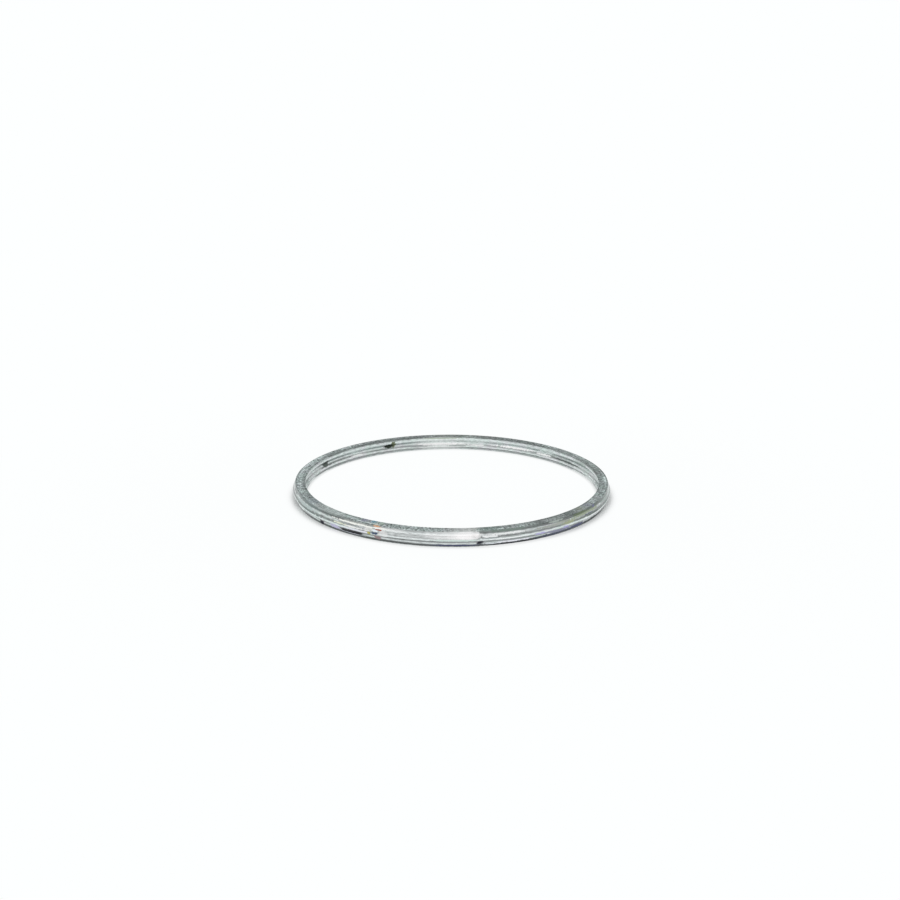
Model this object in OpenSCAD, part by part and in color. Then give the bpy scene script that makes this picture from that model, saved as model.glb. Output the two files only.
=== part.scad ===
// Spiral-wound turbocharger gasket: a V-section steel strip and a soft filler strip wound up together.
// The ring lies flat, its axis on Z and its lower sealing edges on z = 0; sizes are in millimetres.
// Each half turn is one arc. The arcs' centres step to and fro along Y, which makes them a spiral.

/* [Ring] */
// inside diameter of the first steel turn, across its upright edges
bore_d = 92; // [60:0.5:140]
// height of the ring between its two sealing faces
ring_h = 4.5; // [3.2:0.1:7.2]

/* [Steel strip] */
// sheet thickness of the strip
strip_t = 0.2; // [0.15:0.01:0.3]
// height of the upright edge below and above the V
land_h = 0.9; // [0.6:0.05:1.2]
// lean of the V's flanks away from upright
v_angle = 33; // [20:1:38]
// bend radius at the crest of the V, at mid-sheet
crest_r = 0.45; // [0.3:0.05:0.6]
// bend radius where a flank meets an upright edge, at mid-sheet
bend_r = 0.4; // [0.3:0.05:0.6]
// least gap between two steel turns that lie on each other
ply_gap = 0.01; // [0.01:0.01:0.05]

/* [Filler strip] */
// thickness of the filler between two upright edges
filler_t = 0.4; // [0.3:0.02:0.7]
// how far the filler stays below the steel edges, at each sealing face
filler_recess = 0.05; // [0:0.01:0.2]
// gap left between the filler and the steel on each side
filler_gap = 0.01; // [0.005:0.005:0.03]
// part of a half turn over which the filler has not begun, or has already ended
filler_lag = 45; // [35:1:90]

/* [Winding] */
// steps of steel alone at the bore, two to a turn
inner_steps = 4; // [2:1:8]
// steps with filler between the steel, two to a turn
filled_steps = 7; // [3:2:13]
// steps of steel alone at the outside, two to a turn
outer_steps = 4; // [2:1:8]
// length of strip wound on after the last whole half turn, as an angle
tail_angle = 9; // [2:1:170]

/* [Hidden] */
$fn = 180;
bend_sides = 2;
crest_sides = 4;
// distance from turn to turn, rounded up to a hundredth, without filler and with it
ply_pitch = ceil((strip_t / cos(v_angle) + ply_gap) * 100) / 100;
fill_pitch = strip_t + filler_t;
whole_steps = inner_steps + filled_steps + outer_steps;
// half turns with an even layer of filler on them; it tapers on the one before and the one after
fill_first = inner_steps;
fill_last = inner_steps + filled_steps - 2;
// tip of the V before its crest is rounded, out from the strip's mid-sheet line
v_tip = (ring_h / 2 - land_h) * tan(v_angle);
bend_z = land_h - bend_r * tan(v_angle / 2);
crest_u = v_tip - crest_r / cos(v_angle);
// reach of the blocks that shape the tapered filler ends
taper_w = fill_pitch + v_tip;
past = 1;

// growth of the spiral at the end of half turn k, its radius there and the arc's centre on Y
function growth(k) = (k < inner_steps || k >= inner_steps + filled_steps ? ply_pitch : fill_pitch) / 2;
function radius(k) = k == 0 ? bore_d / 2 : radius(k - 1) + growth(k - 1);
function centre(k) = k == 0 ? -growth(0) / 2 : centre(k - 1) + (k % 2 == 1 ? 1 : -1) * growth(k - 1);

// one side of the bent strip, from foot to top, s out from mid-sheet; u is 0 on the inner upright edge
function lower_bend(s) = [
  for (i = [0:bend_sides])
    let (a = v_angle * i / bend_sides)
      [bend_r - (bend_r - s) * cos(a), bend_z + (bend_r - s) * sin(a)]
];
function crest(s) = [
  for (i = [0:crest_sides])
    let (a = v_angle * (2 * i / crest_sides - 1))
      [crest_u + (crest_r + s) * cos(a), ring_h / 2 + (crest_r + s) * sin(a)]
];
function upper_bend(s) = [
  for (i = [bend_sides:-1:0])
    let (p = lower_bend(s)[i])
      [p[0], ring_h - p[1]]
];
function side(s, shift, inset) = [
  for (p = concat([[s, inset]], lower_bend(s), crest(s), upper_bend(s), [[s, ring_h - inset]]))
    [p[0] + strip_t / 2 + shift, p[1]]
];
function flipped(list) = [for (i = [len(list) - 1:-1:0]) list[i]];
function outer_side(shift, inset) = side(strip_t / 2, shift, inset);
function inner_side(shift, inset) = side(-strip_t / 2, shift, inset);

// sweeps a section along half turn k, from an angle past its start
module half_turn(k, sweep = 180, from = 0) {
  translate([0, centre(k)])
    rotate_extrude(start = 90 + 180 * (k % 2) + from, angle = sweep)
      translate([radius(k), 0])
        children();
}

// whole ring on half turn k's arc, filled from inside the filler out to the gap beside the steel
module inside_of(k) {
  translate([0, centre(k)])
    rotate_extrude()
      translate([radius(k), 0])
        polygon(concat(
          [[-taper_w - past, -past]],
          outer_side(filler_gap, -past),
          [[-taper_w - past, ring_h + past]]
        ));
}

// filler on half turn k where the turn above it closes in, so its layer thins to nothing
module taper(k, from) {
  difference() {
    half_turn(k + 2, 180 - filler_lag, from)
      polygon(concat(
        [[-taper_w, filler_recess]],
        inner_side(-filler_gap, filler_recess),
        [[-taper_w, ring_h - filler_recess]]
      ));
    inside_of(k);
  }
}

module winding_strip() {
  color([0.72, 0.74, 0.74])
    union() {
      for (k = [0:whole_steps])
        half_turn(k, k < whole_steps ? 180 : tail_angle)
          polygon(concat(inner_side(0, 0), flipped(outer_side(0, 0))));
    }
}

module filler_strip() {
  color([0.4, 0.41, 0.41])
    union() {
      for (k = [fill_first:fill_last])
        half_turn(k)
          polygon(concat(
            outer_side(filler_gap, filler_recess),
            flipped(inner_side(fill_pitch - filler_gap, filler_recess))
          ));
      taper(fill_first - 1, filler_lag);
      taper(fill_last + 1, 0);
    }
}

winding_strip();
filler_strip();
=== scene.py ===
import math

import bpy
import numpy as np
from mathutils import Matrix, Vector


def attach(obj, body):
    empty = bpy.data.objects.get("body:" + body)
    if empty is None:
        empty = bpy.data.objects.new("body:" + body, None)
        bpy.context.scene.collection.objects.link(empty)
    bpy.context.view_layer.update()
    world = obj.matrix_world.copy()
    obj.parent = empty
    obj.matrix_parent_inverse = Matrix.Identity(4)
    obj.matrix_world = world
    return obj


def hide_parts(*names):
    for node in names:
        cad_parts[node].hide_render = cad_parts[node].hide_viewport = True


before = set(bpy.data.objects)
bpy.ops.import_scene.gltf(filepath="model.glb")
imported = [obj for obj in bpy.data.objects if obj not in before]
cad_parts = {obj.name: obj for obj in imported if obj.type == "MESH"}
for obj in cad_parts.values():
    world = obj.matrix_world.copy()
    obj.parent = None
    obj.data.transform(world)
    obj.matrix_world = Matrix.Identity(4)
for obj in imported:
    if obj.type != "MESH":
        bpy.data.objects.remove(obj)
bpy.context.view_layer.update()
scene = bpy.context.scene
mm = 0.001
dice = np.random.default_rng(47)  # every dip, stretch and grain of the strips draws from it
print("frame loaded with", ", ".join(sorted(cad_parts)))

# the winding, in millimetres and degrees, as the solids have it
winding = {
    "boreRadius": 46.0,  # inner upright edge of the first turn
    "height": 4.5,
    "sheet": 0.2,
    "land": 0.9,  # upright edge below and above the V
    "lean": 33.0,  # flank of the V, away from upright
    "crestRadius": 0.45,
    "bendRadius": 0.4,
    "barePitch": 0.25,  # steel turn on steel turn
    "filledPitch": 0.6,  # steel turn, filler, steel turn
    "halfTurns": (4, 7, 4),  # bare at the bore, filled, bare outside
    "tail": 9.0,  # strip past the last half turn
    "start": 90.0,  # where the strip begins, at the bore
}
height, sheet = winding["height"], winding["sheet"]
bareIn, filled, bareOut = winding["halfTurns"]
bareStep, filledStep = winding["barePitch"] / 2, winding["filledPitch"] / 2
growth = [bareStep] * bareIn + [filledStep] * filled + [bareStep] * bareOut
radii, centres = [winding["boreRadius"]], [-growth[0] / 2]
for k, step in enumerate(growth):
    radii.append(radii[k] + step)
    centres.append(centres[k] + (step if k % 2 == 0 else -step))
radii, centres = np.array(radii), np.array(centres)
stripEnd = 180.0 * len(growth) + winding["tail"]
stripRun = math.pi * radii[:-1].sum() + math.radians(winding["tail"]) * radii[-1]  # its length


# mid-sheet line of the bent strip from foot to top, as u, z and the outward normal
# u is 0 on the inner upright edge; the parts say how finely each stretch is cut up
def bentLine(landParts, bendParts, flankParts, crestParts):
    lean = math.radians(winding["lean"])
    bend, crestR = winding["bendRadius"], winding["crestRadius"]
    bendZ = winding["land"] - bend * math.tan(lean / 2)
    crestU = (height / 2 - winding["land"]) * math.tan(lean) - crestR / math.cos(lean)
    rows = [(0, z, 1, 0) for z in np.linspace(0, bendZ, landParts + 1)[:-1]]
    for a in np.linspace(0, lean, bendParts + 1):
        rows.append((bend - bend * math.cos(a), bendZ + bend * math.sin(a), math.cos(a), -math.sin(a)))
    foot = np.array(rows[-1])
    crest = [
        (crestU + crestR * math.cos(a), height / 2 + crestR * math.sin(a), math.cos(a), math.sin(a))
        for a in np.linspace(-lean, 0, crestParts + 1)
    ]
    for t in np.linspace(0, 1, flankParts + 1)[1:-1]:
        rows.append(tuple(foot + (np.array(crest[0]) - foot) * t))
    rows += crest
    rows += [(u, height - z, nu, -nz) for u, z, nu, nz in rows[-2::-1]]
    line = np.array(rows)
    line[:, 0] += sheet / 2
    return line


# the bent line moved along its normals, to one side of the sheet
def offsetLine(line, out):
    return line[:, :2] + line[:, 2:] * out


# the half turn on which an angle wound from the strip's start lies
def halfTurnAt(wound, last=len(growth)):
    return np.minimum(wound // 180.0, last).astype(int)


# the angle wound from the strip's start to an azimuth, on its first turn or its last
def woundAt(azimuth, wall):
    turn = (azimuth - winding["start"]) % 360.0
    return turn if wall == "inner" else turn + 360.0 * math.floor((stripEnd - turn) / 360.0)


# places points (u out from the inner upright edge, z) on the spiral at a wound angle
def onSpiral(wound, u, z):
    k = halfTurnAt(wound)
    phi = np.radians(winding["start"] + wound)
    reach = radii[k] + u
    return np.stack([reach * np.cos(phi), centres[k] + reach * np.sin(phi), z], -1)


# a smooth random curve along the strip, between 0 and 1
def wander(wound, cell):
    knots = dice.random(int(stripEnd / cell) + 3)
    t = wound / cell
    i = t.astype(int)
    f = t - i
    f = f * f * (3 - 2 * f)
    return knots[i] * (1 - f) + knots[i + 1] * f


# points that face each other across a section, from foot to top: its ends are closed between them
# the section goes up one wall, over the top edge, down the other wall and back along the foot edge
def facingPoints(count, rim):
    foot = [(2 * count + 2 * rim - 1 - i, 2 * count + rim + i) for i in range(rim // 2)]
    walls = list(zip(range(count), range(2 * count + rim - 1, count + rim - 1, -1)))
    top = [(count + i, count + rim - 1 - i) for i in range(rim // 2)]
    return foot[::-1] + walls + top


# closed tube from rings of points; rings run along the strip, points go round the section
def skinRings(name, points, facing):
    rings, around = points.shape[:2]
    first = (np.arange(rings - 1)[:, None] * around + np.arange(around)[None, :]).ravel()
    nextUp = (np.arange(rings - 1)[:, None] * around + (np.arange(around) + 1)[None, :] % around).ravel()
    faces = np.stack([first, first + around, nextUp + around, nextUp], -1).tolist()
    smooth = [True] * len(faces)
    last = (rings - 1) * around
    for (a, b), (c, d) in zip(facing[:-1], facing[1:]):
        faces.append([a, c, d, b])
        faces.append([last + a, last + b, last + d, last + c])
        smooth += [False, False]
    mesh = bpy.data.meshes.new(name)
    mesh.from_pydata((points.reshape(-1, 3) * mm).tolist(), [], faces)
    mesh.polygons.foreach_set("use_smooth", smooth)
    mesh.update()
    piece = bpy.data.objects.new(name, mesh)
    scene.collection.objects.link(piece)
    return piece


# keeps numbers on the points of a mesh, for its material
def keepValues(piece, shape, values):
    for name, value in values.items():
        layer = piece.data.attributes.new(name, "FLOAT", "POINT")
        layer.data.foreach_set("value", np.broadcast_to(value, shape).ravel().astype(np.float32))


# spot welds: wall, azimuth, height, half length and half height of the scorch, depth of the dimple, colour
weldFacts = ("wall", "azimuth", "z", "long", "tall", "dent", "colour")
weldMarks = [dict(zip(weldFacts, facts)) for facts in (
    ("outer", 279.1, 1.2, 1.15, 0.6, 0.05, (0.03, 0.03, 0.045)),
    ("outer", 232.5, 1.14, 2.3, 0.58, 0.03, (0.004, 0.004, 0.010)),
    ("outer", 235.1, 1.18, 2.3, 0.6, 0.03, (0.004, 0.004, 0.010)),
    ("outer", 237.7, 1.22, 2.3, 0.6, 0.03, (0.004, 0.004, 0.010)),
    # this dimple's near-white colour is a painted highlight
    ("outer", 277.4, 3.3, 0.8, 0.5, 0.06, (0.93, 0.92, 0.92)),
    ("outer", 220.4, 0.9, 1.1, 0.95, 0.05, (0.02, 0.02, 0.035)),
    ("inner", 155.0, 2.45, 1.9, 1.15, 0.05, (0.08, 0.10, 0.09)),
    ("inner", 118.8, 2.45, 2.1, 0.85, 0.05, (0.04, 0.05, 0.04)),
)]

# steel strip: rolled V section, slit edges rounded over, wound on the spiral
stripLook = {
    "parts": (3, 3, 3, 3),  # of each land, bend, flank and half crest
    "edgeRound": 0.06,
    "edgeWander": 0.03,  # how far the slit edges dip below the sealing face
    "topCell": 7.0,  # degrees from dip to dip, on top and at the foot
    "footCell": 9.0,
    "dipFade": 0.4,  # height over which a dip dies out
    "slitFrom": 0.08,  # distance from the sealing face at which the slit edge begins
    "slitFade": 0.06,  # and over which it takes the place of the rolled wall
    "shown": 385.0,  # degrees of strip that can show at each end
    "shownStep": 1.5,  # degrees between rings there
    "hiddenStep": 2.0,
    "closeStep": 0.25,  # at the welds and the ends
    "closeReach": 1.5,  # degrees to each side of a weld, for each mm of its half length
    "dentFall": 0.7,  # share of a scorch over which its dimple falls off
    "endThin": 0.12,  # sheet left at the pressed-down end in the bore, as a share
    "endRun": 5.0,  # degrees over which it thins
    "endPress": 0.04,  # how far each welded end is pressed on to the next turn
    "crestRub": 0.016,  # how far handling has rubbed the outer crest flat
    "rubReach": 0.3,  # above and below the crest
}


# the angles at which the strip has a ring of points
def stripRings(welds):
    show, step = stripLook["shown"], stripLook["shownStep"]
    rings = [np.arange(show, stripEnd - show, stripLook["hiddenStep"])]
    rings += [np.arange(0, show, step), np.arange(stripEnd - show, stripEnd, step)]
    ends = np.arange(0, stripLook["endRun"], stripLook["closeStep"])
    rings += [ends, stripEnd - ends]
    for at, weld in welds:
        close = stripLook["closeReach"] * weld["long"]
        rings.append(np.arange(at - close, at + close, stripLook["closeStep"]))
    wound = np.concatenate(rings)
    return np.unique(np.round(wound[(wound >= 0) & (wound <= stripEnd)], 3))


# both walls of the strip and its rounded edges: up the outer wall and down the inner one
def stripSection():
    line = bentLine(*stripLook["parts"])
    outer, inner = offsetLine(line, sheet / 2), offsetLine(line, -sheet / 2)
    curl = stripLook["edgeRound"]
    slant = curl * math.sqrt(0.5)
    outer[0, 1] = inner[0, 1] = curl
    outer[-1, 1] = inner[-1, 1] = height - curl
    topEdge = [
        (sheet - curl + slant, height - curl + slant),
        (sheet - curl, height),
        (curl, height),
        (curl - slant, height - curl + slant),
    ]
    footEdge = [(u, height - z) for u, z in topEdge[::-1]]
    return np.concatenate([outer, topEdge, inner[::-1], footEdge]), len(outer), len(topEdge)


def makeStrip():
    welds = [(woundAt(weld["azimuth"], weld["wall"]), weld) for weld in weldMarks]
    wound = stripRings(welds)
    loop, count, rim = stripSection()
    order = np.arange(len(loop))
    isOuter = order < count
    isInner = (order >= count + rim) & (order < 2 * count + rim)

    # the slit edges dip a little here and there
    u = np.repeat(loop[None, :, 0], len(wound), 0)
    z = np.repeat(loop[None, :, 1], len(wound), 0)
    topDip = wander(wound, stripLook["topCell"])[:, None] * stripLook["edgeWander"]
    footDip = wander(wound, stripLook["footCell"])[:, None] * stripLook["edgeWander"]
    fade = stripLook["dipFade"]
    topPart = np.clip((z - height + fade) / fade, 0, 1)
    footPart = np.clip((fade - z) / fade, 0, 1)
    z = z - topDip * topPart + footDip * footPart

    # spot welds press a shallow dimple into the wall that shows, and the outer crest is rubbed
    for at, weld in welds:
        along = np.radians(wound - at)[:, None] * radii[-1]
        away = np.hypot(along / weld["long"], (z - weld["z"]) / weld["tall"])
        press = weld["dent"] * np.exp(-(away / stripLook["dentFall"]) ** 2)
        u = u - press * isOuter if weld["wall"] == "outer" else u + press * isInner
    u = u - stripLook["crestRub"] * np.exp(-((z - height / 2) / stripLook["rubReach"]) ** 2) * isOuter

    # both ends are welded down flat, and the one in the bore is pressed thin
    begin = np.clip(1 - wound / stripLook["endRun"], 0, 1)[:, None] ** 2
    finish = np.clip(1 - (stripEnd - wound) / stripLook["endRun"], 0, 1)[:, None] ** 2
    inward = np.where(isOuter, 0.0, np.where(isInner, 1.0, 1 - loop[:, 0] / sheet))
    thinned = inward * sheet * (1 - stripLook["endThin"])
    u = u + begin * (thinned + stripLook["endPress"]) - finish * stripLook["endPress"]

    strip = skinRings("windingStrip", onSpiral(wound[:, None], u, z), facingPoints(count, rim))
    run = np.cumsum(np.radians(np.diff(wound)) * radii[halfTurnAt(wound[1:])])
    across = np.cumsum(np.hypot(*np.diff(loop, axis=0).T))
    fromFace = height / 2 - np.abs(loop[:, 1] - height / 2)
    keepValues(strip, u.shape, {
        "along": np.concatenate([[0], run])[:, None],
        "across": np.concatenate([[0], across]),
        "slitEdge": np.clip((stripLook["slitFrom"] - fromFace) / stripLook["slitFade"], 0, 1),
        "rise": loop[:, 1] / height,
        "outside": isOuter * 1.0,
    })
    return strip


# filler strip: soft sheet between the turns, its faces torn and grainy where it shows
fillerLook = {
    "parts": (1, 2, 1, 2),  # of each land, bend, flank and half crest
    "cells": (0.2, 0.4, 0.6, 0.8),  # points across each face, as shares of its width
    "recess": 0.05,
    "gap": 0.01,
    "lag": 45.0,  # part of its first and of its last half turn that it leaves bare
    "step": 0.5,  # degrees between rings
    "crown": 0.02,  # how far its middle swells back out
    "sink": 0.12,  # deepest stretches of the torn face
    "sinkCell": 23.0,  # degrees from stretch to stretch
    "grain": 0.06,
}


def makeFiller():
    first, last = bareIn - 1, bareIn + filled - 1
    begin, finish = 180.0 * first + fillerLook["lag"], 180.0 * (last + 1) - fillerLook["lag"]
    wound = np.arange(begin, finish + fillerLook["step"] / 2, fillerLook["step"])
    k = halfTurnAt(wound, last)
    phi = np.radians(winding["start"] + wound)[:, None]

    # one side lies on the turn below it, the other against the turn above, which has its own centre
    line = bentLine(*fillerLook["parts"])
    below, above = offsetLine(line, sheet / 2), offsetLine(line, -sheet / 2)
    below[:, 0] += fillerLook["gap"]
    above[:, 0] -= fillerLook["gap"]
    recess = fillerLook["recess"]
    below[[0, -1], 1] = above[[0, -1], 1] = recess, height - recess
    ownCentre = centres[k][:, None]
    apart = centres[k + 2][:, None] - ownCentre
    shift = apart * np.sin(phi)
    low = radii[k][:, None] + below[:, 0]
    high = shift + np.sqrt((radii[k + 2][:, None] + above[:, 0]) ** 2 - apart ** 2 + shift ** 2)

    cells = np.array(fillerLook["cells"])
    topReach = high[:, -1:] * (1 - cells) + low[:, -1:] * cells
    footReach = low[:, :1] * (1 - cells) + high[:, :1] * cells

    def tornFace():
        stretch = wander(wound, fillerLook["sinkCell"])[:, None] ** 2 * fillerLook["sink"]
        return stretch + dice.random(topReach.shape) ** 2 * fillerLook["grain"] - fillerLook["crown"]

    lowZ = np.repeat(below[None, :, 1], len(wound), 0)
    highZ = np.repeat(above[None, :, 1], len(wound), 0)
    reach = np.concatenate([high, topReach, low[:, ::-1], footReach], 1)
    z = np.concatenate([highZ, height - recess - tornFace(), lowZ[:, ::-1], recess + tornFace()], 1)
    points = np.stack([reach * np.cos(phi), ownCentre + reach * np.sin(phi), z], -1)
    filler = skinRings("fillerStrip", points, facingPoints(len(line), len(cells)))
    keepValues(filler, reach.shape, {
        "along": np.radians(wound)[:, None] * radii[bareIn],
        "across": reach - low[:, :1],
    })
    return filler


strip = makeStrip()
filler = makeFiller()
print("winding made:", len(strip.data.polygons), "strip faces,", len(filler.data.polygons), "filler faces")


def addNode(tree, kind, where, **settings):
    node = tree.nodes.new(kind)
    node.location = where
    for name, value in settings.items():
        setattr(node, name, value)
    return node


# gives a socket a plain value, or links another node's output to it
def feed(tree, socket, value):
    if isinstance(value, (int, float, tuple)):
        socket.default_value = value
    else:
        tree.links.new(value, socket)


def objectPlace(tree, where):
    return addNode(tree, "ShaderNodeTexCoord", where).outputs["Object"]


def kept(tree, where, name):
    return addNode(tree, "ShaderNodeAttribute", where, attribute_name=name).outputs["Fac"]


def splitParts(tree, where, vector):
    node = addNode(tree, "ShaderNodeSeparateXYZ", where)
    tree.links.new(vector, node.inputs["Vector"])
    return node.outputs


def spread(tree, where, source, low, high, toLow=0.0, toHigh=1.0):
    node = addNode(tree, "ShaderNodeMapRange", where)
    tree.links.new(source, node.inputs["Value"])
    for name, value in zip(("From Min", "From Max", "To Min", "To Max"), (low, high, toLow, toHigh)):
        node.inputs[name].default_value = value
    return node.outputs["Result"]


def maths(tree, where, operation, first, second):
    node = addNode(tree, "ShaderNodeMath", where, operation=operation)
    feed(tree, node.inputs[0], first)
    feed(tree, node.inputs[1], second)
    return node.outputs[0]


def vectorMaths(tree, where, operation, *sources):
    node = addNode(tree, "ShaderNodeVectorMath", where, operation=operation)
    sockets = (node.inputs[0], node.inputs["Scale"]) if operation == "SCALE" else node.inputs
    for socket, value in zip(sockets, sources):
        feed(tree, socket, value)
    return node.outputs["Value" if operation == "LENGTH" else "Vector"]


def noise(tree, where, place, scale, detail):
    node = addNode(tree, "ShaderNodeTexNoise", where)
    tree.links.new(place, node.inputs["Vector"])
    node.inputs["Scale"].default_value = scale
    node.inputs["Detail"].default_value = detail
    return node.outputs["Fac"]


# greys along a value from 0 to 1, as stops of a place and a tone
def greyRamp(tree, where, source, stops):
    node = addNode(tree, "ShaderNodeValToRGB", where)
    bar = node.color_ramp.elements
    while len(bar) < len(stops):
        bar.new(0.5)
    for stop, (place, tone) in zip(bar, stops):
        stop.position = place
        stop.color = (tone, tone, tone, 1.0)
    tree.links.new(source, node.inputs["Fac"])
    return node.outputs["Color"]


def blendColours(tree, where, factor, first, second, blend="MIX"):
    node = addNode(tree, "ShaderNodeMix", where, data_type="RGBA", blend_type=blend, clamp_result=True)
    for name, value in (("Factor", factor), ("A", first), ("B", second)):
        feed(tree, node.inputs[name], (*value, 1.0) if isinstance(value, tuple) else value)
    return node.outputs["Result"]


def shaded(tree, where, colour, shade):
    return blendColours(tree, where, 1.0, colour, shade, "MULTIPLY")


def newGroup(name, inputs, outputs):
    tree = bpy.data.node_groups.new(name, "ShaderNodeTree")
    for label, kind, value in inputs:
        socket = tree.interface.new_socket(label, in_out="INPUT", socket_type=kind)
        socket.default_value = value
    for label in outputs:
        tree.interface.new_socket(label, in_out="OUTPUT", socket_type="NodeSocketFloat")
    return tree, addNode(tree, "NodeGroupInput", (-900, 0)), addNode(tree, "NodeGroupOutput", (700, 0))


def placeGroup(tree, group, where, **values):
    node = addNode(tree, "ShaderNodeGroup", where, node_tree=group)
    for name, value in values.items():
        node.inputs[name].default_value = value
    return node


# fine grain, bright flecks, broad patches and streaks, for the filler and for the slit steel edges
grainLook = {
    "place": {"Along": 1900.0, "Across": 1100.0},  # fineness round the ring and across its face
    "grainBand": (0.36, 0.64),  # where each begins and is full, in the noise behind it
    "fleckBand": (0.78, 0.98),
    "patchBand": (0.35, 0.65),
    "streakBand": (0.36, 0.64),
    "patchScale": 0.2,  # against the grain
    "streakAround": 0.05,
    "streakAcross": 1.6,
}


def makeGrainGroup():
    tree, groupIn, groupOut = newGroup(
        "grainAndFlecks",
        [("Along", "NodeSocketFloat", 2000.0), ("Across", "NodeSocketFloat", 700.0)],
        ("Grain", "Flecks", "Patches", "Streaks"),
    )
    along, across = groupIn.outputs["Along"], groupIn.outputs["Across"]
    place = objectPlace(tree, (-1900, -200))
    flat = vectorMaths(tree, (-1700, -100), "MULTIPLY", place, (1.0, 1.0, 0.0))
    turned = vectorMaths(tree, (-1500, 0), "NORMALIZE", flat)
    reach = vectorMaths(tree, (-1500, -200), "LENGTH", flat)
    rimScale = maths(tree, (-1500, 200), "MULTIPLY", along, radii[-1] * mm)
    around = vectorMaths(tree, (-1300, 0), "SCALE", turned, rimScale)
    outward = maths(tree, (-1300, -200), "MULTIPLY", reach, across)
    upward = maths(tree, (-1300, -400), "MULTIPLY", splitParts(tree, (-1500, -400), place)["Z"], along)
    joined = addNode(tree, "ShaderNodeCombineXYZ", (-900, -300))
    tree.links.new(maths(tree, (-1100, -300), "ADD", outward, upward), joined.inputs["Z"])
    lift = joined.outputs["Vector"]
    spot = vectorMaths(tree, (-700, -100), "ADD", around, lift)
    slow = vectorMaths(tree, (-900, -900), "SCALE", around, grainLook["streakAround"])
    finer = (0.0, 0.0, grainLook["streakAcross"])
    turns = vectorMaths(tree, (-700, -900), "MULTIPLY_ADD", lift, finer, slow)
    cells = addNode(tree, "ShaderNodeTexVoronoi", (-500, -250))
    cells.inputs["Scale"].default_value = 1.0
    tree.links.new(spot, cells.inputs["Vector"])
    tint = addNode(tree, "ShaderNodeSeparateColor", (-250, -250))
    tree.links.new(cells.outputs["Color"], tint.inputs["Color"])
    grain = noise(tree, (-500, 100), spot, 1.0, 3.0)
    patches = noise(tree, (-500, -600), spot, grainLook["patchScale"], 2.0)
    streaks = noise(tree, (-500, -900), turns, 1.0, 2.0)
    for name, source, band, y in (
        ("Grain", grain, "grainBand", 100),
        ("Flecks", tint.outputs["Red"], "fleckBand", -250),
        ("Patches", patches, "patchBand", -600),
        ("Streaks", streaks, "streakBand", -900),
    ):
        tree.links.new(spread(tree, (100, y), source, *grainLook[band]), groupOut.inputs[name])
    return tree


# lines that follow the strip, from the lengths kept on its mesh: long ones, short dashes and slow clouds
rollingLook = {
    "band": (0.33, 0.67),  # where each begins and is full, in the noise behind it
    # squeeze along and across the strip, and detail
    "kinds": {"Lines": ((1, 1, 1), 4.0), "Dashes": ((20, 1.5, 1), 2.0), "Clouds": ((0.5, 0.3, 1), 3.0)},
}


def makeRollingGroup():
    tree, groupIn, groupOut = newGroup(
        "rollingLines",
        [("Stretch", "NodeSocketFloat", 0.02), ("Fineness", "NodeSocketFloat", 6.0)],
        rollingLook["kinds"],
    )
    joined = addNode(tree, "ShaderNodeCombineXYZ", (-400, 0))
    for axis, length, factor, y in (("X", "along", "Stretch", 200), ("Y", "across", "Fineness", -200)):
        scaled = maths(tree, (-650, y), "MULTIPLY", kept(tree, (-900, y), length), groupIn.outputs[factor])
        tree.links.new(scaled, joined.inputs[axis])
    for i, (name, (squeeze, detail)) in enumerate(rollingLook["kinds"].items()):
        y = 200 - 300 * i
        squeezed = vectorMaths(tree, (-250, y), "MULTIPLY", joined.outputs["Vector"], squeeze)
        lines = noise(tree, (-50, y), squeezed, 1.0, detail)
        tree.links.new(spread(tree, (300, y), lines, *rollingLook["band"]), groupOut.inputs[name])
    return tree


heatFront = (1.05, 0.7)  # share of a mark's size at which its colour begins and is full


# heat that fades away from one spot
def makeHeatGroup():
    tree, groupIn, groupOut = newGroup(
        "heatAround",
        [
            ("Centre", "NodeSocketVector", (0.0, 0.0, 0.0)),
            ("Shrink", "NodeSocketVector", (1000.0, 1000.0, 1000.0)),
            ("Ragged", "NodeSocketFloat", 0.0),
        ],
        ["Heat"],
    )
    place = objectPlace(tree, (-900, -300))
    offset = vectorMaths(tree, (-500, 0), "SUBTRACT", place, groupIn.outputs["Centre"])
    shrunk = vectorMaths(tree, (-300, 0), "MULTIPLY", offset, groupIn.outputs["Shrink"])
    away = vectorMaths(tree, (-100, 0), "LENGTH", shrunk)
    front = maths(tree, (150, 0), "ADD", away, groupIn.outputs["Ragged"])
    tree.links.new(spread(tree, (400, 0), front, *heatFront), groupOut.inputs["Heat"])
    return tree
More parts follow.
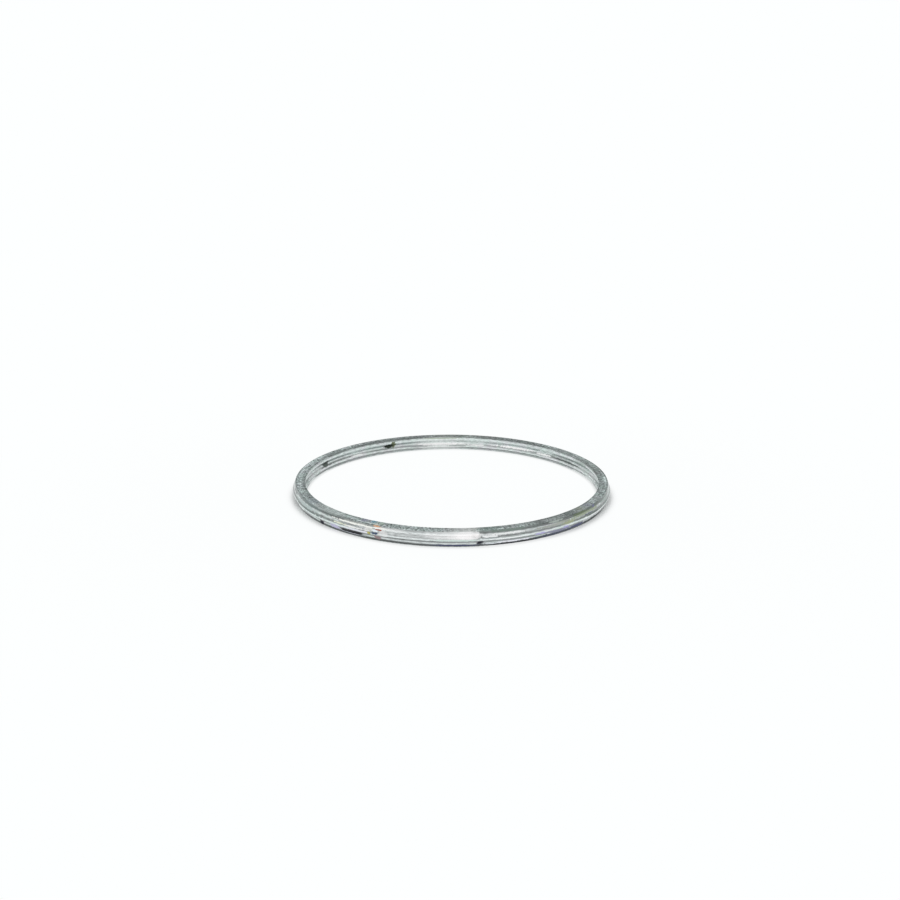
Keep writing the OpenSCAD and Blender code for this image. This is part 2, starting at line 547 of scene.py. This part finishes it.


# colours left by heat and oil on the walls, mixed with painted highlights, painted reflection lines, and
# painted light and painted shade at the foot: azimuth, height, half length and half height in mm, colour
outerHeatTintsAndPaintedLight = [
    (235.0, 0.56, 4.6, 0.13, (0.42, 0.43, 0.48)),
    (237.0, 2.1, 5.6, 0.24, (0.91, 0.90, 0.99)),
    (236.5, 2.74, 6.2, 0.2, (0.92, 0.94, 0.93)),
    (238.5, 4.1, 6.5, 0.24, (0.42, 0.44, 0.42)),
    (246.0, 3.75, 3.0, 0.3, (1.0, 1.0, 0.97)),
    (245.5, 1.68, 2.5, 0.18, (0.40, 0.42, 0.42)),
    (245.0, 4.2, 1.5, 0.25, (0.78, 0.44, 0.26)),
    (245.8, 3.3, 1.0, 0.24, (0.36, 0.14, 0.11)),
    (244.5, 2.95, 1.3, 0.24, (0.85, 0.93, 1.0)),
    (242.5, 2.1, 0.6, 0.45, (0.52, 0.49, 0.16)),
    (244.6, 2.3, 1.35, 0.36, (0.07, 0.10, 0.17)),
    (245.1, 1.05, 1.3, 0.6, (0.36, 0.27, 0.28)),
    (195.0, 3.95, 5.0, 0.7, (0.16, 0.19, 0.185)),
    (208.0, 4.05, 11.0, 0.6, (0.18, 0.225, 0.22)),
    (209.0, 3.1, 8.5, 0.44, (0.46, 0.54, 0.53)),
    (211.0, 2.4, 9.5, 0.24, (0.19, 0.235, 0.225)),
    (209.0, 1.6, 8.5, 0.6, (0.83, 0.94, 0.92)),
    (203.0, 0.95, 4.0, 0.42, (0.88, 0.96, 0.95)),
    (227.6, 1.3, 2.2, 0.75, (0.62, 0.60, 0.82)),
    (230.0, 2.8, 3.4, 0.2, (0.78, 0.81, 0.66)),
    (234.0, 3.24, 5.0, 0.17, (0.34, 0.36, 0.36)),
    (237.0, 3.68, 9.5, 0.27, (0.98, 0.99, 0.94)),
    (271.5, 2.1, 7.0, 0.34, (0.72, 0.83, 0.79)),
    (271.5, 0.5, 7.5, 0.24, (0.09, 0.10, 0.17)),
    (288.5, 3.28, 7.0, 0.26, (0.97, 1.0, 1.0)),
    (288.5, 2.02, 7.0, 0.28, (0.97, 1.0, 1.0)),
    (290.5, 0.8, 7.0, 0.26, (0.93, 0.93, 1.0)),
    (290.0, 0.14, 9.5, 0.24, (0.03, 0.03, 0.04)),
    (289.0, 2.42, 4.5, 0.16, (0.42, 0.46, 0.45)),
    (289.0, 4.15, 5.5, 0.45, (0.22, 0.27, 0.245)),
    (282.5, 2.88, 3.0, 0.28, (0.95, 0.98, 0.98)),
    (283.0, 2.42, 3.0, 0.16, (0.36, 0.40, 0.40)),
    (283.0, 0.6, 3.0, 0.22, (0.80, 0.83, 0.88)),
    (300.3, 1.8, 2.2, 0.4, (0.54, 0.51, 0.80)),
    (306.0, 1.45, 3.0, 0.35, (0.34, 0.35, 0.50)),
    (311.0, 1.7, 1.4, 0.5, (0.46, 0.44, 0.78)),
    (306.0, 0.5, 7.0, 0.34, (0.10, 0.11, 0.15)),
    (317.5, 0.85, 4.2, 0.6, (0.10, 0.11, 0.20)),
    (307.0, 4.1, 2.8, 0.4, (0.42, 0.47, 0.44)),
    (309.0, 1.1, 5.0, 0.42, (0.27, 0.28, 0.37)),
    (310.5, 3.3, 4.5, 0.34, (0.34, 0.37, 0.32)),
    (312.5, 2.85, 3.2, 0.4, (0.36, 0.40, 0.27)),
    (320.0, 3.95, 4.2, 0.5, (0.15, 0.19, 0.12)),
    (327.5, 3.35, 2.6, 0.3, (0.33, 0.37, 0.23)),
    (329.0, 4.2, 5.0, 0.45, (0.12, 0.15, 0.13)),
    (323.5, 2.8, 2.6, 0.3, (0.13, 0.15, 0.20)),
    (328.0, 4.2, 0.9, 0.45, (0.13, 0.14, 0.26)),
    (328.0, 1.75, 7.5, 0.45, (0.93, 0.96, 0.97)),
    (322.0, 2.62, 7.0, 0.22, (0.2, 0.23, 0.21)),
    (338.5, 2.5, 5.5, 0.24, (0.22, 0.27, 0.255)),
    (329.0, 2.42, 7.0, 0.2, (0.14, 0.17, 0.16)),
    (334.0, 1.15, 5.0, 0.45, (0.92, 0.97, 0.97)),
    (322.0, 3.4, 8.0, 0.3, (0.33, 0.38, 0.29)),
    (305.0, 3.2, 5.5, 0.32, (0.42, 0.45, 0.42)),
    (339.0, 4.05, 6.0, 0.6, (0.125, 0.16, 0.15)),
    (340.0, 3.35, 5.5, 0.28, (0.34, 0.41, 0.385)),
    (339.0, 1.5, 6.5, 0.6, (0.88, 0.96, 0.95)),
    (333.0, 0.36, 9.5, 0.46, (0.014, 0.022, 0.024)),
]
innerHeatTintsAndPaintedLight = [
    (116.6, 2.9, 1.0, 1.5, (0.16, 0.18, 0.11)),
    (94.0, 4.05, 8.0, 0.24, (0.50, 0.57, 0.48)),
    (95.0, 1.84, 9.0, 0.36, (0.99, 1.0, 1.0)),
    (79.0, 1.6, 4.0, 0.26, (0.90, 0.93, 0.92)),
    (135.0, 1.5, 3.2, 0.25, (0.85, 0.88, 0.87)),
    (87.0, 1.24, 4.0, 0.2, (0.42, 0.46, 0.45)),
    (104.5, 1.24, 4.5, 0.2, (0.45, 0.49, 0.48)),
    (31.0, 1.22, 4.0, 0.18, (0.45, 0.49, 0.48)),
    (148.0, 1.7, 9.5, 0.22, (0.21, 0.24, 0.23)),
    (123.0, 1.65, 7.0, 0.2, (0.28, 0.32, 0.31)),
    (154.0, 1.6, 4.5, 0.24, (0.15, 0.17, 0.165)),
    (56.0, 0.2, 12.0, 0.25, (0.42, 0.46, 0.45)),
    (108.0, 1.55, 5.0, 0.2, (0.36, 0.39, 0.40)),
    (160.5, 3.0, 4.0, 0.8, (0.54, 0.58, 0.57)),
    (61.0, 1.97, 8.5, 0.36, (0.99, 1.0, 1.0)),
    (47.0, 1.68, 3.6, 0.3, (0.96, 0.99, 0.98)),
    (32.0, 1.65, 7.5, 0.26, (0.11, 0.13, 0.125)),
    (21.0, 3.3, 5.5, 1.1, (0.44, 0.51, 0.48)),
    (21.0, 1.45, 5.5, 0.2, (0.42, 0.48, 0.46)),
    (161.0, 0.12, 9.0, 0.26, (0.80, 0.84, 0.83)),
    (170.0, 0.4, 4.0, 0.5, (0.74, 0.78, 0.77)),
    (20.5, 0.2, 8.5, 0.33, (0.80, 0.84, 0.83)),
    (13.0, 0.45, 4.5, 0.5, (0.74, 0.78, 0.77)),
]
# broad painted highlights and painted shade under those, and how much of the strip's own lines they hide
outerPaintedSheenAndShade = [
    (270.5, 3.4, 8.6, 1.3, (1.0, 0.995, 1.0)),
    (274.0, 3.35, 5.2, 1.25, (1.0, 0.985, 0.99)),
    (275.2, 3.35, 4.0, 1.25, (1.0, 0.985, 0.99)),
    (275.4, 3.35, 3.7, 1.1, (1.0, 0.985, 0.99)),
    (250.5, 3.85, 4.0, 0.4, (1.0, 1.0, 1.0)),
    (247.6, 2.4, 1.6, 1.1, (1.0, 1.0, 1.0)),
    (242.3, 3.1, 1.5, 0.6, (1.0, 1.0, 0.93)),
    (341.0, 3.9, 7.0, 0.8, (0.08, 0.10, 0.095)),
    (225.0, 4.3, 6.0, 0.5, (0.06, 0.075, 0.07)),
    (315.0, 4.4, 16.0, 0.3, (0.06, 0.075, 0.07)),
    (305.0, 4.45, 9.0, 0.35, (0.05, 0.06, 0.06)),
]
innerPaintedSheenAndShade = [
    (76.0, 2.85, 9.0, 0.55, (0.95, 1.0, 0.98)),
    (39.0, 2.85, 6.0, 0.55, (0.95, 1.0, 0.98)),
    (95.0, 2.2, 11.5, 2.6, (0.98, 1.0, 0.99)),
    (39.0, 1.9, 8.0, 0.5, (0.10, 0.12, 0.11)),
]
sheenAndShadeCover = 0.4
# the same on the upper sealing face, heat tints with painted highlights and painted shade: azimuth, share
# of the way out from the bore, half length, colour
faceTintsAndPaintedLight = [
    (312.0, 0.4, 20.0, (0.26, 0.29, 0.28)),
    (222.0, 0.3, 8.0, (0.55, 0.60, 0.59)),
    (242.3, 0.2, 1.1, (0.10, 0.38, 0.52)),
    (245.6, 0.4, 1.0, (0.42, 0.56, 0.44)),
    (244.6, 0.95, 0.7, (0.70, 0.56, 0.38)),
    (238.7, 0.3, 1.2, (0.30, 0.30, 0.42)),
    (210.5, 0.5, 2.8, (0.37, 0.42, 0.46)),
    (276.0, 0.4, 2.6, (0.62, 0.64, 0.62)),
    (283.0, 0.3, 3.0, (0.14, 0.22, 0.19)),
    (301.5, 0.4, 2.0, (0.10, 0.11, 0.11)),
    (315.5, 0.55, 2.4, (0.08, 0.105, 0.10)),
    (321.5, 0.4, 1.6, (0.25, 0.28, 0.21)),
    (327.0, 0.65, 2.0, (0.24, 0.25, 0.33)),
    (273.0, 1.0, 4.5, (0.72, 0.74, 0.74)),
    (15.0, 0.15, 11.0, (0.15, 0.18, 0.165)),
    (62.0, 0.3, 16.0, (0.05, 0.06, 0.055)),
    (76.0, 0.8, 6.0, (0.19, 0.21, 0.2)),
    (36.0, 0.4, 7.0, (0.20, 0.23, 0.22)),
    (118.0, 0.25, 18.0, (0.05, 0.06, 0.055)),
    (90.0, 0.3, 8.0, (0.08, 0.095, 0.07)),
    (148.0, 0.3, 5.0, (0.10, 0.13, 0.12)),
]
faceCover = 0.5  # how much of the grain those hide
# painted light and painted shade on that face from the bore (0) to the rim (1), and how much of it shows
# at each azimuth
faceLightAndShade = [(0.0, 0.9), (0.2, 0.64), (0.4, 0.78), (0.55, 1.2), (0.7, 1.62), (1.0, 1.75)]
faceParts = [
    (0, 0.5), (20, 0.5), (30, 0.65), (40, 0.9), (50, 0.6), (60, 0.2), (72, 0.05), (82, 0.0),
    (100, 0.05), (110, 0.8), (120, 1.0), (130, 0.85), (140, 0.8), (152, 1.0), (160, 0.6), (180, 0.4),
    (200, 0.35), (212, 0.2), (222, 0.0), (232, 0.1), (242, 0.6), (252, 0.4), (260, 0.1), (272, 0.4),
    (286, 0.6), (294, 0.6), (302, 0.2), (312, 0.0), (330, 0.1), (342, 0.2), (352, 0.5), (360, 0.5),
]
faceTall = 0.4  # half height of a mark there
# how uneven the edges of marks, washes and scorches are, and how finely
roughness = {"tint": 0.35, "wash": 0.08, "weld": 0.14, "scale": 1300.0, "band": (0.3, 0.7)}
wallLine = bentLine(landParts=3, bendParts=5, flankParts=5, crestParts=5)


def placeOnWall(azimuth, z, wall):
    side = offsetLine(wallLine, sheet / 2 if wall == "outer" else -sheet / 2)
    u = np.interp(z, side[:, 1], side[:, 0])
    return onSpiral(woundAt(azimuth, wall), u, z)


# every mark as its centre, half length, half height and colour
def wallMarks(wall, marksAndPaintedLight):
    return [(placeOnWall(a, z, wall), long, tall, colour) for a, z, long, tall, colour in marksAndPaintedLight]


def weldSpots(wall):
    facts = ("azimuth", "z", "long", "tall", "colour")
    return wallMarks(wall, [[weld[fact] for fact in facts] for weld in weldMarks if weld["wall"] == wall])


def faceMarks():
    marks = []
    for azimuth, share, long, colour in faceTintsAndPaintedLight:
        bore, rim = placeOnWall(azimuth, height, "inner"), placeOnWall(azimuth, height, "outer")
        marks.append((bore + (rim - bore) * share, long, faceTall, colour))
    return marks


# painted light and painted shade on the sealing face, from the bore out and by azimuth
def makeFaceGroup():
    tree, _, groupOut = newGroup("faceShade", [], ["Shade"])
    place = objectPlace(tree, (-1300, 0))
    turned = (-1.0, -1.0, 0.0)  # half a turn round, so that the angle starts at azimuth 0
    back = vectorMaths(tree, (-1100, 0), "MULTIPLY", place, turned)
    reach = vectorMaths(tree, (-900, 200), "LENGTH", back)
    parts = splitParts(tree, (-900, -200), back)
    angle = maths(tree, (-700, -200), "ARCTAN2", parts["Y"], parts["X"])
    outward = spread(tree, (-500, 200), reach, radii[0] * mm, (radii[-1] + sheet) * mm)
    around = spread(tree, (-500, -200), angle, -math.pi, math.pi)
    tone = greyRamp(tree, (-300, 200), outward, faceLightAndShade)
    part = greyRamp(tree, (-300, -200), around, [(azimuth / 360, share) for azimuth, share in faceParts])
    change = maths(tree, (0, 200), "SUBTRACT", tone, 1.0)
    change = maths(tree, (200, 0), "MULTIPLY", change, part)
    tree.links.new(maths(tree, (400, 0), "ADD", change, 1.0), groupOut.inputs["Shade"])
    return tree


grainGroup, rollingGroup = makeGrainGroup(), makeRollingGroup()
heatGroup, faceGroup = makeHeatGroup(), makeFaceGroup()


# lays marks over a colour, later ones on top of earlier ones
def layMarks(tree, where, colour, marks, cover, kind="tint"):
    x, y = where
    place = objectPlace(tree, (x - 900, y))
    uneven = noise(tree, (x - 700, y), place, roughness["scale"], 3.0)
    ragged = spread(tree, (x - 500, y), uneven, *roughness["band"], -roughness[kind], roughness[kind])
    for i, (centre, long, tall, paint) in enumerate(marks):
        row = y - 220 * i
        shrink = (1 / (long * mm), 1 / (long * mm), 1 / (tall * mm))
        heat = placeGroup(tree, heatGroup, (x - 250, row), Centre=Vector(centre) * mm, Shrink=shrink)
        tree.links.new(ragged, heat.inputs["Ragged"])
        part = maths(tree, (x - 100, row), "MULTIPLY", heat.outputs["Heat"], cover)
        colour = blendColours(tree, (x, row), part, colour, paint)
    return colour


def newMaterial(name):
    material = bpy.data.materials.new(name)
    material.use_nodes = True
    tree = material.node_tree
    tree.nodes.clear()
    shader = addNode(tree, "ShaderNodeBsdfPrincipled", (900, 0))
    output = addNode(tree, "ShaderNodeOutputMaterial", (1200, 0))
    tree.links.new(shader.outputs["BSDF"], output.inputs["Surface"])
    return material, tree, shader


def addBump(tree, shader, relief, strength, depth):
    bump = addNode(tree, "ShaderNodeBump", (600, -300))
    bump.inputs["Strength"].default_value = strength
    bump.inputs["Distance"].default_value = depth
    tree.links.new(relief, bump.inputs["Height"])
    tree.links.new(bump.outputs["Normal"], shader.inputs["Normal"])


steelLook = {
    # height in mm and tone of the outer wall, as painted reflections and painted shade: dark foot of
    # painted shade, painted highlights on the bends and crest, duller flanks
    "outerPaintedReflections": [
        (0.0, 0.2), (0.3, 0.14), (0.5, 0.12), (0.65, 0.28), (0.9, 0.78), (1.08, 0.84), (1.25, 0.5),
        (1.5, 0.2), (1.7, 0.42), (1.95, 0.94), (2.25, 0.98), (2.48, 0.56), (2.7, 0.22), (2.9, 0.36),
        (3.2, 0.68), (3.45, 0.68), (3.65, 0.36), (3.85, 0.21), (4.2, 0.24), (4.5, 0.3),
    ],
    # the inner wall's tones, likewise painted reflections and painted shade by height
    "innerPaintedReflections": [
        (0.0, 0.6), (0.3, 0.5), (0.45, 0.32), (0.65, 0.28), (0.85, 0.5), (1.1, 0.8), (1.35, 0.68),
        (1.5, 0.48), (1.65, 0.38), (1.85, 0.46), (2.05, 0.7), (2.3, 0.78), (2.6, 0.62), (2.95, 0.58),
        (3.3, 0.74), (3.6, 0.86), (3.85, 0.8), (4.1, 0.62), (4.5, 0.56),
    ],
    # the lighter stretch before the outer end: painted reflections with a broader painted highlight
    "palePaintedReflections": [
        (0.0, 0.24), (0.3, 0.14), (0.5, 0.1), (0.65, 0.24), (0.9, 0.74), (1.1, 0.84), (1.3, 0.5),
        (1.55, 0.22), (1.75, 0.34), (1.95, 0.76), (2.25, 0.95), (2.5, 0.5), (2.65, 0.46), (2.9, 0.6),
        (3.05, 0.48), (3.2, 0.34), (3.35, 0.52), (3.55, 0.88), (3.8, 0.66), (4.1, 0.52), (4.4, 0.46),
        (4.5, 0.46),
    ],
    "paleRun": (32.0, 25.0),  # where it fades in and is full, mm before the end
    # the cool cast of that stretch's painted highlight
    "paleTint": (0.945, 1.0, 1.0),
    "waver": 0.03,  # how far the tones stray up and down, as a share of the height
    "rolling": {"Stretch": 0.03, "Fineness": 4.0},  # rolling lines along and across the strip
    "lines": 0.2,  # how much they and the short dashes lighten and darken
    "dashes": 0.36,
    "greener": (0.885, 1.0, 0.965),
    "bluer": (0.945, 0.975, 1.0),
    "slitDark": (0.12, 0.13, 0.128),
    "slitLight": (0.66, 0.715, 0.705),
    "streaks": (0.75, 1.25),  # darkest and lightest turn by turn
    "rimRun": (640.0, 600.0),  # bare outer turns, whose slit edges are darker, mm before the end
    "rimDarken": 0.3,
    "gloss": (0.14, 0.26),  # roughness of the walls, and what the slit edges add to it
    "slitRough": 0.25,
    "bump": (0.3, 0.00003),  # strength and depth of the rolling lines, in metres
}


# fades in along the strip between two distances from its outer end
def nearEnd(tree, where, run, distances):
    begins, full = distances
    return spread(tree, where, run, stripRun - begins, stripRun - full)


# rolled walls: painted reflections and painted shade by height, under rolling lines and dashes
def wallTones(tree, rolling, outside, pale):
    waver = steelLook["waver"]
    stray = spread(tree, (-1700, 450), rolling.outputs["Clouds"], 0.0, 1.0, -waver, waver)
    rise = maths(tree, (-1600, 600), "ADD", kept(tree, (-1900, 600), "rise"), stray)
    inner, outer, paleReflections = (
        greyRamp(tree, (-1400, y), rise, [(z / height, tone) for z, tone in steelLook[name]])
        for name, y in (("innerPaintedReflections", 800), ("outerPaintedReflections", 550), ("palePaintedReflections", 300))
    )
    outer = blendColours(tree, (-1100, 500), pale, outer, paleReflections)
    colour = blendColours(tree, (-1000, 700), outside, inner, outer)
    for name, part, y in (("Lines", steelLook["lines"], 400), ("Dashes", steelLook["dashes"], 150)):
        shade = spread(tree, (-900, y), rolling.outputs[name], 0.0, 1.0, 1 - part, 1 + part)
        colour = shaded(tree, (-650, y), colour, shade)
    return colour


# slit edges in the sealing face: grain, streaks turn by turn, and darker outer turns
def slitTones(tree, grain, run, pale):
    dark, light = steelLook["slitDark"], steelLook["slitLight"]
    colour = blendColours(tree, (-650, -100), grain.outputs["Grain"], dark, light)
    streak = spread(tree, (-900, -300), grain.outputs["Streaks"], 0.0, 1.0, *steelLook["streaks"])
    colour = shaded(tree, (-500, -300), colour, streak)
    face = placeGroup(tree, faceGroup, (-900, -800))
    colour = shaded(tree, (-500, -800), colour, face.outputs["Shade"])
    rim = nearEnd(tree, (-1200, -500), run, steelLook["rimRun"])
    darkRim = maths(tree, (-900, -500), "SUBTRACT", rim, pale)
    darken = maths(tree, (-700, -500), "MULTIPLY", darkRim, steelLook["rimDarken"])
    return blendColours(tree, (-500, -500), darken, colour, dark)


def makeSteel():
    material, tree, shader = newMaterial("rolledSteel")
    rolling = placeGroup(tree, rollingGroup, (-1900, 300), **steelLook["rolling"])
    grain = placeGroup(tree, grainGroup, (-1900, 0), **grainLook["place"])
    slit, run = kept(tree, (-1900, -250), "slitEdge"), kept(tree, (-1900, 1200), "along")
    outside = kept(tree, (-1400, 1000), "outside")
    inside = maths(tree, (-1200, 1000), "SUBTRACT", 1.0, outside)
    pale = nearEnd(tree, (-1600, 1200), run, steelLook["paleRun"])
    walls, edges = wallTones(tree, rolling, outside, pale), slitTones(tree, grain, run, pale)
    colour = blendColours(tree, (-400, 200), slit, walls, edges)
    greener, bluer = steelLook["greener"], steelLook["bluer"]
    tint = blendColours(tree, (-400, -100), grain.outputs["Patches"], greener, bluer)
    tint = blendColours(tree, (-300, -200), pale, tint, steelLook["paleTint"])
    colour = shaded(tree, (-200, 200), colour, tint)
    colour = layMarks(tree, (300, -400), colour, faceMarks(), faceCover)
    # on each wall: painted sheen and painted shade, then heat tints with painted light, then weld scorches
    for wall, here, sheenAndShade, marksAndPaintedLight, x in (
        ("inner", inside, innerPaintedSheenAndShade, innerHeatTintsAndPaintedLight, 600),
        ("outer", outside, outerPaintedSheenAndShade, outerHeatTintsAndPaintedLight, 2200),
    ):
        thin = maths(tree, (x, 0), "MULTIPLY", here, sheenAndShadeCover)
        colour = layMarks(tree, (x, -400), colour, wallMarks(wall, sheenAndShade), thin, "wash")
        colour = layMarks(tree, (x + 500, -400), colour, wallMarks(wall, marksAndPaintedLight), here)
        colour = layMarks(tree, (x + 1000, -400), colour, weldSpots(wall), here, "weld")
    tree.links.new(colour, shader.inputs["Base Color"])
    shader.inputs["Metallic"].default_value = 1.0
    gloss = spread(tree, (300, 100), rolling.outputs["Clouds"], 0.0, 1.0, *steelLook["gloss"])
    rougher = spread(tree, (300, -100), slit, 0.0, 1.0, 0.0, steelLook["slitRough"])
    tree.links.new(maths(tree, (600, 0), "ADD", gloss, rougher), shader.inputs["Roughness"])
    addBump(tree, shader, rolling.outputs["Lines"], *steelLook["bump"])
    return material


fillerPaint = {
    "dark": (0.13, 0.15, 0.147),
    "light": (0.77, 0.835, 0.83),
    "fleck": (0.88, 0.94, 0.935),
    "greener": (0.89, 1.0, 0.965),
    "bluer": (0.96, 0.96, 1.0),
    "rolling": {"Stretch": 0.05, "Fineness": 1.5},  # slow stretches along and across the strip
    "stretchDark": 0.65,  # tone of the darkest of them
    "streaks": (0.75, 1.25),  # darkest and lightest turn by turn
    "rough": (0.75, 0.4),  # roughness of the body and of the flecks
    "bump": (0.5, 0.00005),  # strength and depth of the grain, in metres
}


def makeGraphite():
    material, tree, shader = newMaterial("grainyGraphite")
    grain = placeGroup(tree, grainGroup, (-1200, 0), **grainLook["place"])
    rolling = placeGroup(tree, rollingGroup, (-1200, 300), **fillerPaint["rolling"])
    flecks = grain.outputs["Flecks"]
    dark, light = fillerPaint["dark"], fillerPaint["light"]
    body = blendColours(tree, (-800, 150), grain.outputs["Grain"], dark, light)
    body = blendColours(tree, (-600, 150), flecks, body, fillerPaint["fleck"])
    shade = spread(tree, (-600, 400), rolling.outputs["Lines"], 0.0, 1.0, fillerPaint["stretchDark"], 1.0)
    body = shaded(tree, (-400, 150), body, shade)
    streak = spread(tree, (-600, 600), grain.outputs["Streaks"], 0.0, 1.0, *fillerPaint["streaks"])
    body = shaded(tree, (-300, 300), body, streak)
    face = placeGroup(tree, faceGroup, (-600, 800))
    body = shaded(tree, (-300, 500), body, face.outputs["Shade"])
    greener, bluer = fillerPaint["greener"], fillerPaint["bluer"]
    tint = blendColours(tree, (-400, -100), grain.outputs["Patches"], greener, bluer)
    body = shaded(tree, (-200, 150), body, tint)
    body = layMarks(tree, (300, -400), body, faceMarks(), faceCover)
    tree.links.new(body, shader.inputs["Base Color"])
    rough = spread(tree, (300, 0), flecks, 0.0, 1.0, *fillerPaint["rough"])
    tree.links.new(rough, shader.inputs["Roughness"])
    addBump(tree, shader, grain.outputs["Grain"], *fillerPaint["bump"])
    return material


for piece, material, node, slotName in (
    (strip, makeSteel(), "winding_strip", "steel"),
    (filler, makeGraphite(), "filler_strip", "filler"),
):
    piece.data.materials.append(material)
    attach(piece, "root")
    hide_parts(node)
print("materials set")

studio = {
    "floorColour": (0.86, 0.87, 0.87),
    "floorRough": 0.85,
    "floorReach": 3.0,
    "floorDrop": 0.00003,  # below the ring's foot
    "white": (0.985, 1.0, 1.0),
    # share of plain white that the camera sees in the floor, by distance from the ring's axis in mm; lower
    # near the ring, where the grey lit floor shows as a painted shadow band
    "whiteShares": [
        (0, 0.985), (44, 0.98), (47, 0.62), (49.8, 0.66), (50.3, 0.88), (50.8, 0.95), (51.5, 0.975),
        (60, 0.985), (160, 1.0),
    ],
    # the same at the left and the right, where the painted shadow band is deeper
    "sideShares": [
        (0, 0.985), (45, 0.98), (47, 0.05), (49.8, 0.04), (50.3, 0.34), (50.8, 0.68), (51.4, 0.88),
        (52.2, 0.97), (160, 1.0),
    ],
    "sides": (0.5, 0.93),  # where those begin and are full, from 0 in front to 1 at the side
    "whiteMirrored": 0.6,  # share of plain white in the steel's reflections
    "sky": 1.2,
    # share of the sky light, by the sine of the height above the floor
    "skyBands": [(0.0, 0.76), (0.2, 0.78), (0.35, 0.84), (0.5, 0.7), (1.0, 0.6)],
    "boxPlace": (-0.145, -0.445, 0.407),
    "boxSize": (0.8, 0.14),
    "boxPower": 0.1,
}


def makeFloor():
    reach = studio["floorReach"]
    corners = [(-reach, -reach, 0), (reach, -reach, 0), (reach, reach, 0), (-reach, reach, 0)]
    mesh = bpy.data.meshes.new("studioFloor")
    mesh.from_pydata(corners, [], [(0, 1, 2, 3)])
    floor = bpy.data.objects.new("studioFloor", mesh)
    floor.location.z = -studio["floorDrop"]
    scene.collection.objects.link(floor)
    material, tree, shader = newMaterial("paleFloor")
    shader.inputs["Base Color"].default_value = (*studio["floorColour"], 1.0)
    shader.inputs["Roughness"].default_value = studio["floorRough"]
    white = addNode(tree, "ShaderNodeEmission", (900, -400))
    white.inputs["Color"].default_value = (*studio["white"], 1.0)
    place = objectPlace(tree, (0, 600))
    outward = vectorMaths(tree, (200, 900), "NORMALIZE", place)
    toSide = maths(tree, (550, 900), "ABSOLUTE", splitParts(tree, (400, 900), outward)["X"], 0.0)
    sideways = spread(tree, (700, 900), toSide, *studio["sides"])
    farthest = studio["whiteShares"][-1][0]
    away = vectorMaths(tree, (200, 600), "LENGTH", place)
    distance = spread(tree, (400, 600), away, 0.0, farthest * mm)
    inFront, atSide = (
        greyRamp(tree, (550, y), distance, [(r / farthest, part) for r, part in studio[name]])
        for name, y in (("whiteShares", 700), ("sideShares", 450))
    )
    share = blendColours(tree, (800, 700), sideways, inFront, atSide)
    rays = addNode(tree, "ShaderNodeLightPath", (550, 400))
    seen = maths(tree, (800, 500), "MULTIPLY", rays.outputs["Is Camera Ray"], share)
    mirrored = maths(tree, (800, 300), "MULTIPLY", rays.outputs["Is Glossy Ray"], studio["whiteMirrored"])
    mix = addNode(tree, "ShaderNodeMixShader", (1150, 200))
    tree.links.new(maths(tree, (1000, 400), "MAXIMUM", seen, mirrored), mix.inputs["Fac"])
    tree.links.new(shader.outputs["BSDF"], mix.inputs[1])
    tree.links.new(white.outputs["Emission"], mix.inputs[2])
    tree.links.new(mix.outputs["Shader"], tree.nodes["Material Output"].inputs["Surface"])
    mesh.materials.append(material)


def makeRoom():
    world = bpy.data.worlds.new("whiteRoom")
    scene.world = world
    world.use_nodes = True
    tree = world.node_tree
    tree.nodes.clear()
    rays = addNode(tree, "ShaderNodeLightPath", (-600, 300))
    towards = addNode(tree, "ShaderNodeTexCoord", (-900, -100)).outputs["Generated"]
    dome = greyRamp(tree, (-500, -100), splitParts(tree, (-700, -100), towards)["Z"], studio["skyBands"])
    room = addNode(tree, "ShaderNodeBackground", (-200, -100))
    room.inputs["Strength"].default_value = studio["sky"]
    tree.links.new(dome, room.inputs["Color"])
    back = addNode(tree, "ShaderNodeBackground", (-200, 100))
    back.inputs["Color"].default_value = (*studio["white"], 1.0)
    mix = addNode(tree, "ShaderNodeMixShader", (100, 100))
    tree.links.new(rays.outputs["Is Camera Ray"], mix.inputs["Fac"])
    tree.links.new(room.outputs["Background"], mix.inputs[1])
    tree.links.new(back.outputs["Background"], mix.inputs[2])
    output = addNode(tree, "ShaderNodeOutputWorld", (350, 100))
    tree.links.new(mix.outputs["Shader"], output.inputs["Surface"])


def makeSoftBox():
    lamp = bpy.data.lights.new("softBox", "AREA")
    lamp.shape = "RECTANGLE"
    lamp.energy = studio["boxPower"]
    lamp.size, lamp.size_y = studio["boxSize"]
    holder = bpy.data.objects.new("softBox", lamp)
    holder.location = studio["boxPlace"]
    holder.rotation_euler = (-Vector(studio["boxPlace"])).to_track_quat("-Z", "Y").to_euler()
    scene.collection.objects.link(holder)


# camera in front of the ring, a little above it; angles in degrees, distances in metres, lens in mm
viewpoint = {
    "distance": 0.34475,
    "elevation": 18.61,
    "lookUp": 2.116,
    "lookRight": -0.106,
    "roll": 0.35,
    "lens": 43.344,
    "sensor": 36.0,
    "clip": (0.01, 20.0),
}


def makeCamera():
    data = bpy.data.cameras.new("photoCamera")
    data.sensor_width = viewpoint["sensor"]
    data.lens = viewpoint["lens"]
    data.clip_start, data.clip_end = viewpoint["clip"]
    camera = bpy.data.objects.new("photoCamera", data)
    scene.collection.objects.link(camera)
    tilt = math.radians(viewpoint["elevation"])
    place = Vector((0.0, -math.cos(tilt), math.sin(tilt))) * viewpoint["distance"]
    ahead, right = -place.normalized(), Vector((1.0, 0.0, 0.0))
    up = right.cross(ahead)

    def swing(first, second, angle):
        c, s = math.cos(math.radians(angle)), math.sin(math.radians(angle))
        return first * c + second * s, second * c - first * s

    ahead, up = swing(ahead, up, viewpoint["lookUp"])
    ahead, right = swing(ahead, right, viewpoint["lookRight"])
    right, up = swing(right, up, viewpoint["roll"])
    turn = Matrix((right, up, -ahead)).transposed().to_4x4()
    camera.matrix_world = Matrix.Translation(place) @ turn
    scene.camera = camera


makeFloor()
makeRoom()
makeSoftBox()
makeCamera()
scene.view_settings.view_transform = "Standard"
print("studio and camera set")
